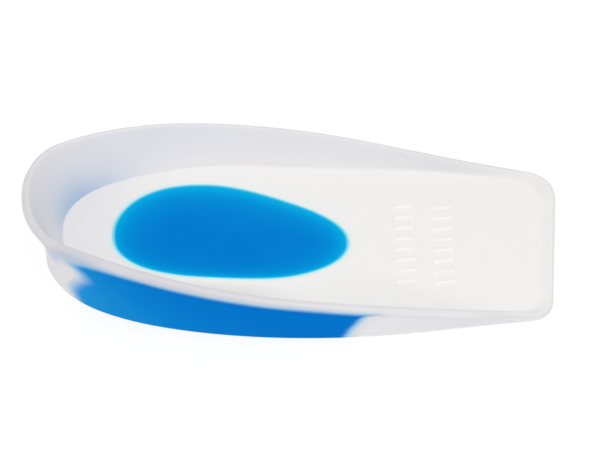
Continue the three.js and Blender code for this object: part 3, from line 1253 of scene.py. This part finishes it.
@dataclass
class GripBars:
    """Rows of low raised bars on the floor in front of the pad."""

    form: CupForm
    rows: int = 2
    bars_per_row: int = 8
    length: float = 5.0
    width: float = 1.2
    height: float = 0.4
    pitch: float = 3.9
    row_pitch: float = 8.0
    from_front: float = 24.0
    slant_degrees: float = 12.0
    segments: int = 20
    rings: int = 12
    ray_from: float = 50.0

    def sizes(self) -> dict[str, tuple[str, Any]]:
        """Gives each named input of the tree, with its kind of socket and its value in metres.

        Returns:
            The kind and the value by the input's name.
        """
        return {
            "Rows": ("NodeSocketInt", self.rows),
            "Bars in a row": ("NodeSocketInt", self.bars_per_row),
            "Row spacing": ("NodeSocketFloat", self.row_pitch * MM),
            "Bar spacing": ("NodeSocketFloat", self.pitch * MM),
            "First row": ("NodeSocketFloat", (self.form.length / 2 - self.from_front) * MM),
            "Bar length": ("NodeSocketFloat", self.length * MM),
            "Bar width": ("NodeSocketFloat", self.width * MM),
            "Bar height": ("NodeSocketFloat", self.height * MM),
            "Slant": ("NodeSocketFloat", math.radians(self.slant_degrees)),
        }

    def tree(self) -> Tree:
        """Makes the tree that drops a grid of bars on the floor and joins them to it.

        Returns:
            The tree.
        """
        tree = bpy.data.node_groups.new("grip_bars", "GeometryNodeTree")
        interface = tree.interface
        interface.new_socket(name="Geometry", in_out="INPUT", socket_type="NodeSocketGeometry")
        for name, (kind, _) in self.sizes().items():
            interface.new_socket(name=name, in_out="INPUT", socket_type=kind)
        interface.new_socket(name="Finish", in_out="INPUT", socket_type="NodeSocketMaterial")
        interface.new_socket(name="Geometry", in_out="OUTPUT", socket_type="NodeSocketGeometry")
        given = tree.nodes.new("NodeGroupInput").outputs

        def add(kind: str, inputs: dict[str, Any], **settings: Any) -> Socket:
            """Adds a node and gives its output."""
            return output(add_node(tree, kind, settings, inputs))

        def sum_up(operation: str, *values: Any) -> Socket:
            """Works out one or two numbers."""
            return add("ShaderNodeMath", dict(zip(("Value", "Value_001"), values)), operation=operation)

        def move(kind: str, geometry: Socket, way: Socket) -> Socket:
            """Moves points to a position or by an offset."""
            return add("GeometryNodeSetPosition", {"Geometry": geometry, kind: way})

        deep = sum_up("MULTIPLY", given["Row spacing"], sum_up("SUBTRACT", given["Rows"], 1.0))
        wide = sum_up("MULTIPLY", given["Bar spacing"], sum_up("SUBTRACT", given["Bars in a row"], 1.0))
        counts = {"Vertices X": given["Rows"], "Vertices Y": given["Bars in a row"]}
        grid = add("GeometryNodeMeshGrid", {"Size X": deep, "Size Y": wide} | counts)
        middle = sum_up("SUBTRACT", given["First row"], sum_up("MULTIPLY", deep, 0.5))
        placed = move("Offset", grid, add("ShaderNodeCombineXYZ", {"X": middle}))
        position = add("GeometryNodeInputPosition", {})
        above = {"Vector": position, "Vector_001": (0.0, 0.0, self.ray_from * MM)}
        ray = {
            "Target Geometry": given["Geometry"],
            "Source Position": add("ShaderNodeVectorMath", above, operation="ADD"),
            "Ray Direction": (0.0, 0.0, -1.0),
            "Ray Length": 2 * self.ray_from * MM,
        }
        hit = add_node(tree, "GeometryNodeRaycast", {}, ray).outputs
        radius = sum_up("MULTIPLY", given["Bar width"], 0.5)
        sink = {"Vector": hit["Hit Normal"], "Scale": sum_up("SUBTRACT", given["Bar height"], radius)}
        sunk = add("ShaderNodeVectorMath", sink, operation="SCALE")
        landing = {"Vector": hit["Hit Position"], "Vector_001": sunk}
        landed = move("Position", placed, add("ShaderNodeVectorMath", landing, operation="ADD"))
        ball_sizes = {"Segments": self.segments, "Rings": self.rings, "Radius": radius}
        ball = add("GeometryNodeMeshUVSphere", ball_sizes)
        side = sum_up("SIGN", add("ShaderNodeSeparateXYZ", {"Vector": position}))
        straight = sum_up("SUBTRACT", sum_up("MULTIPLY", given["Bar length"], 0.5), radius)
        bar = move("Offset", ball, add("ShaderNodeCombineXYZ", {"X": sum_up("MULTIPLY", side, straight)}))
        upright = add("FunctionNodeAlignRotationToVector", {"Vector": hit["Hit Normal"]}, axis="Z")
        slant = add("FunctionNodeAxisAngleToRotation", {"Axis": (0.0, 0.0, 1.0), "Angle": given["Slant"]})
        turns = {"Rotation": upright, "Rotate By": slant}
        turned = add("FunctionNodeRotateRotation", turns, rotation_space="LOCAL")
        bars = add("GeometryNodeInstanceOnPoints", {"Points": landed, "Instance": bar, "Rotation": turned})
        joined = add_node(tree, "GeometryNodeMeshBoolean", {"operation": "UNION", "solver": "MANIFOLD"}, {})
        meshes = next(socket for socket in joined.inputs if socket.is_multi_input)
        tree.links.new(add("GeometryNodeRealizeInstances", {"Geometry": bars}), meshes)
        tree.links.new(given["Geometry"], meshes)
        real = add("GeometryNodeRealizeInstances", {"Geometry": output(joined)})
        finished = add("GeometryNodeSetMaterial", {"Geometry": real, "Material": given["Finish"]})
        add_node(tree, "NodeGroupOutput", {}, {"Geometry": finished})
        return tree

    def add_to(self, made: Object, finish: Material) -> None:
        """Raises the bars on a cup's floor.

        Args:
            made: The cup.
            finish: Its material.
        """
        modifier = made.modifiers.new("grip_bars", "NODES")
        tree = self.tree()
        modifier.node_group = tree
        values = {name: value for name, (_, value) in self.sizes().items()} | {"Finish": finish}
        for item in tree.interface.items_tree:
            if item.in_out == "INPUT" and item.name in values:
                modifier[item.identifier] = values[item.name]


class RimLine(NamedTuple):
    """A fine darker line of painted shade along the rim: how grey it is, where over the rim it lies and how
    far it reaches.
    """

    strength: float
    middle_degrees: float
    reach_degrees: float

    def at(self, degrees: Array) -> Array:
        """Gives its share of grey at angles over the rim."""
        return self.strength * hump(self.middle_degrees, self.reach_degrees, degrees)


@dataclass
class CupBody:
    """The silicone cup with its recesses and the grip bars on its floor."""

    form: CupForm
    finish: MilkySilicone
    pad: HeelPad
    inlay: SideInlay
    bars: GripBars
    side_steps: int = 16
    corner_steps: int = 16
    front_steps: int = 56
    edge_steps: int = 5
    outer_steps: int = 28
    rim_steps: int = 16
    inner_steps: int = 20
    inner_spacing: float = 0.85
    floor_steps: int = 40
    bottom_columns: int = 12
    # The blue that shows through low in the back of the heel: its place, reach, strength and growth downward.
    glow_middle: float = -1.85
    glow_reach: float = 3.1
    glow_strength: float = 0.56
    glow_at_rim: float = 0.05
    glow_rises: Span = (0.05, 0.9)
    pad_haze: float = 0.6
    pad_haze_power: int = 2
    # How far the outer wall takes the greyer tone, which is partly thinner silicone and partly painted shade.
    # Over the rim it is greyer still, up to this angle in radians.
    outer_thinness: ClassVar[float] = 0.9
    thinnest_angle: float = 1.5
    # Between these heights in millimetres the wall goes from the floor's white to its greyer tone, which is
    # partly painted shade.
    tall: Span = (0.3, 6.5)
    # The floor has a little painted shade at the heel, where the walls close it in, up to a distance along
    # the cup.
    heel_thinness: float = 0.8
    heel_thins: Span = (-50.0, -15.0)
    # How much painted shade the rim has, from place to place: most along the near side, and some at the far
    # front.
    shade_places: ClassVar[Numbers] = (
        -11.0, -9.6, -8.7, -8.4, -8.0, -7.7, -7.0, -6.0, -3.5, -1.5,
        0.0, 2.0, 4.5, 6.0, 7.2, 8.0, 8.8, 9.4, 11.0,
    )
    shade_shares: ClassVar[Numbers] = (
        0.1, 0.34, 0.35, 0.31, 0.2, 0.12, 0.03, 0.0, 0.0, 0.14,
        0.24, 0.46, 0.55, 0.42, 0.25, 0.36, 0.36, 0.45, 0.1,
    )
    # Painted shade on the outer wall, from place to place.
    wall_shade_places: ClassVar[Numbers] = (-10.0, 0.0, 6.5, 7.8, 9.0, 10.0)
    wall_shade_shares: ClassVar[Numbers] = (0.12, 0.15, 0.13, 0.1, 0.22, 0.2)
    # The rim's painted shade takes over the outer wall's from this share of its height on.
    rim_shade_from: ClassVar[float] = 0.75
    # How much painted shade the floor has beside the wall, which keeps light from it, and how soon that shade
    # starts.
    floor_shade_places: ClassVar[Numbers] = (2.0, 3.5, 4.5, 5.3, 6.0, 6.65, 7.2, 9.0, 10.5)
    floor_shade_shares: ClassVar[Numbers] = (0.0, 0.2, 0.3, 0.55, 0.45, 0.18, 0.13, 0.13, 0.0)
    floor_shade_rises: float = 0.15
    # The inner wall's painted shade goes by this share of its height, but on the far side a part of it is
    # kept.
    near_shade_from: float = 2.0
    near_shade_ends: float = 0.6
    far_shade_kept: float = 0.4
    far_shade_grows: Span = (5.0, 7.0)
    # Where the wall's look starts to go, and over what length: at the heel's back, the sides, the far front.
    foot_starts: tuple[float, float, float] = (0.93, 0.86, 0.3)
    foot_lengths: tuple[float, float, float] = (0.07, 0.28, 0.7)
    far_front: Span = (6.5, 9.0)
    foot_on_floor: float = 0.1
    near_line: RimLine = RimLine(0.25, 18.0, 22.0)
    near_line_starts: Span = (3.6, 5.0)
    near_line_ends: Span = (6.6, 8.0)
    far_line: RimLine = RimLine(0.1, 55.0, 28.0)
    far_line_until: float = 0.5
    front_line: RimLine = RimLine(0.25, 30.0, 40.0)
    front_line_starts: Span = (8.8, 10.0)

    @classmethod
    def rim_shade(cls, places: Array) -> Array:
        """Gives how much painted shade the rim has at places counted in sections from the heel."""
        return np.interp(places, cls.shade_places, cls.shade_shares)

    @classmethod
    def outer_shade(cls, places: Array, shares: Array) -> Array:
        """Gives how much painted shade the outer wall has at places, and at shares of its height."""
        wall = np.interp(places, cls.wall_shade_places, cls.wall_shade_shares)
        return mix(wall, cls.rim_shade(places), ease(cls.rim_shade_from, 1.0, shares))

    def glow(self, places: Array, share: float) -> Array:
        """Gives how much gel shows through the inner wall at places, and at a share of the way down it."""
        along = hump(self.glow_middle, self.glow_reach, places)
        return self.glow_strength * along * mix(self.glow_at_rim, 1.0, ease(*self.glow_rises, share))

    def rim_line(self, places: Array, angles: Array) -> Array:
        """Gives the fine darker lines of painted shade along the rim's edge.

        Args:
            places: The ribs' places, in sections from the heel.
            angles: Their angles over the rim, 0 outside and a quarter turn at the top.

        Returns:
            The share of grey at each rib.
        """
        degrees = np.degrees(angles)
        near = ease(*self.near_line_starts, places) * (1 - ease(*self.near_line_ends, places))
        far = places < self.far_line_until
        front = ease(*self.front_line_starts, places)
        lines = ((self.near_line, near), (self.far_line, far), (self.front_line, front))
        return sum(line.at(degrees) * kept for line, kept in lines)

    def build(self) -> tuple[Object, Array]:
        """Makes the cup.

        Returns:
            The cup as an object, and the angles of the points on the edge of the pad's recess.
        """
        ribs = self.form.loop(self.side_steps, self.corner_steps, self.front_steps)
        turns = self.pad.turns(ribs.crease)
        skin = Skin()
        loops = self.outer_loops(skin, ribs) + self.inner_loops(skin, ribs)
        loops += self.floor_loops(skin, ribs, turns)
        for lower, upper in zip(loops, loops[1:]):
            skin.add_band(lower, upper)
        recess = self.pad.skin_below
        skin.add_cap(loops[0], lambda inner: np.zeros(len(inner)), self.bottom_columns, False)
        skin.add_cap(loops[-1], lambda inner: np.full(len(inner), recess), self.pad.bottom_columns, True)
        return skin.make("silicone_cup"), turns

    def outer_loops(self, skin: Skin, ribs: Ribs) -> list[Array]:
        """Adds the bottom edge, the outer wall and the rim.

        Args:
            skin: The surface.
            ribs: The cup's ribs.

        Returns:
            The loops, from the bottom edge to the inside of the rim.
        """
        loops = []
        places = ribs.places
        foot, top = np.zeros(len(places)), np.ones(len(places))
        for step in range(self.edge_steps + 1):
            points = ribs.bottom_edge(math.pi / 2 * step / self.edge_steps)
            loops.append(skin.add_loop(points, thin=self.outer_thinness, **self.inlay.values(ribs, foot)))
        for step in range(1, self.outer_steps):
            shares = top * step / self.outer_steps
            # The outer wall's greyer tone and its painted shade.
            values = {"thin": self.outer_thinness, "shade": self.outer_shade(places, shares)}
            values |= self.inlay.values(ribs, shares)
            loops.append(skin.add_loop(ribs.outer_wall(shares), **values))
        turn = ribs.inner_turn()
        for step in range(self.rim_steps + 1):
            angles = turn * step / self.rim_steps
            thin = self.tallness(ribs) * mix(self.outer_thinness, 1.0, ease(0.0, self.thinnest_angle, angles))
            # Painted shade on the rim, with the fine darker lines along its edge.
            shade = np.clip(self.rim_shade(places) + self.rim_line(places, angles), 0, 1)
            values = self.inlay.values(ribs, top, self.form.rim_radius * angles)
            loops.append(skin.add_loop(ribs.rim_edge(angles), thin=thin, shade=shade, **values))
        return loops

    def tallness(self, ribs: Ribs) -> Array:
        """Gives 0 where the wall has run out at the front and 1 where it stands tall."""
        return ease(*self.tall, ribs.rim[:, 2] - ribs.foot[:, 2])

    def inner_loops(self, skin: Skin, ribs: Ribs) -> list[Array]:
        """Adds the inner wall.

        Args:
            skin: The surface.
            ribs: The cup's ribs.

        Returns:
            The loops, from the rim to the crease.
        """
        loops = []
        for step in range(1, self.inner_steps + 1):
            share = (step / self.inner_steps) ** self.inner_spacing
            wall = self.wall_share(ribs.places, share)
            # The wall's greyer tone and its painted shade, which run into the floor's painted heel shade at
            # the crease.
            thin = self.tallness(ribs) * wall + self.floor_thinness(ribs.crease) * (1 - wall)
            shade = self.inner_shade(ribs.places, share) * wall
            glow = self.glow(ribs.places, share)
            loops.append(skin.add_loop(ribs.inner_wall(share), thin=thin, shade=shade, seen_gel=glow))
        return loops

    def wall_share(self, places: Array, share: float) -> Array:
        """Gives how much of the wall's look is left: it goes at the crease, or earlier at the far front.

        Args:
            places: The ribs' places, in sections from the heel.
            share: The share of the way from the rim down to the crease.

        Returns:
            The share of the wall's look at each rib, which the floor takes over.
        """
        early = ease(*self.far_front, -places)
        start, length = (
            mix(mix(heel, side, self.form.sideness(places)), far_front, early)
            for heel, side, far_front in (self.foot_starts, self.foot_lengths)
        )
        return 1 - ease(0, 1, (share - start) / length)

    def inner_shade(self, places: Array, share: float) -> Array:
        """Gives how much painted shade the inner wall has: on the far side it goes on down the wall, most at
        the front.

        Args:
            places: The ribs' places, in sections from the heel.
            share: The share of the way from the rim down to the crease.

        Returns:
            The share of grey at each rib.
        """
        near = 1 - ease(0.0, self.near_shade_ends, share)
        kept = mix(self.far_shade_kept, 1.0, ease(*self.far_shade_grows, -places))
        return self.rim_shade(places) * np.where(places > self.near_shade_from, near, mix(kept, 1.0, near))

    def floor_thinness(self, points: Array) -> Array:
        """Gives how much painted shade the floor has at points: most at the heel, where the walls close it
        in.
        """
        return self.heel_thinness * (1 - ease(*self.heel_thins, points[:, 0]))

    def floor_loops(self, skin: Skin, ribs: Ribs, turns: Array) -> list[Array]:
        """Adds the floor and the recess of the pad.

        Args:
            skin: The surface.
            ribs: The cup's ribs.
            turns: The angle on the pad's edge that faces each of them.

        Returns:
            The loops, from the crease to the bottom of the recess.
        """
        halo = self.pad.halo_outside
        outside = self.pad.outline(turns, -halo[0])
        by_wall = np.interp(ribs.places, self.floor_shade_places, self.floor_shade_shares)
        wall_foot = self.wall_share(ribs.places, 1.0)
        loops = []
        for step in range(1, self.floor_steps + 1):
            share = step / self.floor_steps
            flat = mix(ribs.crease, outside, share)
            foot = wall_foot * (1 - ease(0.0, self.foot_on_floor, share))
            # The floor's painted shade: at the heel, at the wall's foot and beside the wall.
            thin = np.maximum(self.floor_thinness(flat), self.tallness(ribs) * foot)
            shade = by_wall * ease(0.0, self.floor_shade_rises, share) * (1 - share**2)
            shade += self.inner_shade(ribs.places, 1.0) * foot
            heights = self.form.floor_height(flat[:, 0])
            loops.append(skin.add_loop(level(flat, heights), thin=thin, shade=shade))
        for distance in (*halo[1:], 0.0):
            flat = self.pad.outline(turns, -distance)
            haze = self.pad_haze * (1 - distance / halo[0]) ** self.pad_haze_power
            heights = self.form.floor_height(flat[:, 0])
            loops.append(skin.add_loop(level(flat, heights), thin=self.floor_thinness(flat), seen_pad=haze))
        edge = self.pad.outline(turns)
        loops.append(skin.add_loop(level(edge, self.pad.skin_below), seen_pad=self.pad_haze))
        return loops

    def finish_form(self, made: Object) -> None:
        """Raises the grip bars, cuts the inlay's recess and keeps each point's named values.

        Args:
            made: The cup.
        """
        finish = self.finish.material(self.inlay.finish)
        before = made.data.copy()
        self.bars.add_to(made, finish)
        cutter = self.inlay.solid("inlay_cutter", 0.0, self.inlay.overrun)
        recess = made.modifiers.new("inlay_recess", "BOOLEAN")
        recess.operation = "DIFFERENCE"
        recess.solver = "MANIFOLD"
        recess.object = cutter
        settle(made, finish)
        bpy.data.objects.remove(cutter)
        carry_values(before, made.data)
        bpy.data.meshes.remove(before)

    def dress(self, made: Object) -> None:
        """Puts the cup in the frame.

        Args:
            made: The cup.
        """
        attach(made, "root")
        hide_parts("cup_body")


@dataclass
class Studio:
    """A pale floor lit from within, soft light from all round and above, and the photograph's camera."""

    floor_colour: str = "#7c7c7c"
    floor_roughness: float = 0.9
    floor_glow_colour: str = "#ffffff"
    floor_glow: float = 0.84
    floor_size: float = 3.0
    sky_colour: str = "#fffefd"
    sky_strength: float = 0.66
    lamp_size: float = 0.9
    lamp_place: tuple[float, float, float] = (0.05, -0.45, 0.75)
    lamp_power: float = 3.6
    azimuth: float = -1.2
    elevation: float = 34.7
    target_mm: tuple[float, float, float] = (2.3, 11.8, 0.0)
    distance: float = 4.0
    clip_distances: float = 10.0
    photo_width_px: int = 600
    px_per_mm: float = 4.775
    sensor_mm: float = 36.0

    def build(self) -> None:
        """Makes the floor, the light and the camera."""
        self.build_floor()
        self.build_light()
        self.build_camera()

    def build_floor(self) -> None:
        """Makes the floor, which is a photographer's light table of opal acrylic."""
        half = self.floor_size / 2
        mesh = bpy.data.meshes.new("studio_floor")
        corners = [(-half, -half, 0), (half, -half, 0), (half, half, 0), (-half, half, 0)]
        mesh.from_pydata(corners, [], [(0, 1, 2, 3)])
        floor = add_object("studio_floor", mesh)
        table, shader = new_material("acrylic_opal_light_table")
        fill(
            shader,
            {
                "Base Color": linear(self.floor_colour),
                "Roughness": self.floor_roughness,
                "Specular IOR Level": 0.0,
                "Emission Color": linear(self.floor_glow_colour),
                "Emission Strength": self.floor_glow,
            },
        )
        mesh.materials.append(table)

    def build_light(self) -> None:
        """Makes the even light of the room and one large soft lamp above."""
        world = bpy.data.worlds.new("studio_light")
        world.use_nodes = True
        sky = {"Color": linear(self.sky_colour), "Strength": self.sky_strength}
        fill(world.node_tree.nodes["Background"], sky)
        bpy.context.scene.world = world
        lamp = bpy.data.lights.new("overhead_softbox", "AREA")
        lamp.size = self.lamp_size
        lamp.energy = self.lamp_power
        place = Vector(self.lamp_place)
        self.aim(add_object("overhead_softbox", lamp), place, -place)
        bpy.context.scene.view_settings.view_transform = "Standard"

    def build_camera(self) -> None:
        """Makes the camera at the photograph's angle and distance."""
        camera = bpy.data.cameras.new("camera")
        camera.sensor_width = self.sensor_mm
        frame_width_mm = self.photo_width_px / self.px_per_mm
        camera.lens = self.sensor_mm * self.distance / (frame_width_mm * MM)
        camera.clip_end = self.distance * self.clip_distances
        turn, rise = math.radians(self.azimuth), math.radians(self.elevation)
        back = Vector((math.sin(turn) * math.cos(rise), -math.cos(turn) * math.cos(rise), math.sin(rise)))
        holder = add_object("camera", camera)
        self.aim(holder, Vector(self.target_mm) * MM + back * self.distance, -back)
        bpy.context.scene.camera = holder

    @staticmethod
    def aim(holder: Object, place: Vector, direction: Vector) -> None:
        """Puts a lamp or a camera in its place and turns it to look along a direction."""
        holder.location = place
        holder.rotation_euler = direction.to_track_quat("-Z", "Y").to_euler()


def main() -> None:
    """Builds the cup's three pieces and the studio."""
    logging.basicConfig(level=logging.INFO, format="%(name)s: %(message)s")
    low, high = CAD_BOX
    size = (high - low) / MM
    form = CupForm(length=size.x)
    silicone = MilkySilicone()
    pad_gel = BlueGel(
        name="silicone_gel_cast_blue_pad",
        colours=("#c8f6ff", "#62ccee", "#01b5ea", "#0097df", "#007dd3"),
        depths=(0.0, 0.09, 0.2, 0.6, 1.0),
    )
    inlay_gel = BlueGel(
        name="silicone_gel_cast_blue_inlay",
        colours=("#3ab2e6", "#2096dc", "#0482d1", "#0073ca"),
        depths=(0.0, 0.4, 0.72, 1.0),
        skin=silicone,
    )
    Studio().build()
    pad = HeelPad(form, pad_gel)
    inlay = SideInlay(form, inlay_gel)
    cup = CupBody(form, silicone, pad, inlay, GripBars(form))
    body, turns = cup.build()
    cup.finish_form(body)
    cup.dress(body)
    log.info("cup: %d faces", len(body.data.polygons))
    heel_pad = pad.build(turns)
    pad.dress(heel_pad)
    log.info("heel pad: %d faces", len(heel_pad.data.polygons))
    band = inlay.build()
    inlay.dress(band)
    log.info("side inlay: %d faces", len(band.data.polygons))


if __name__ == "__main__":
    main()
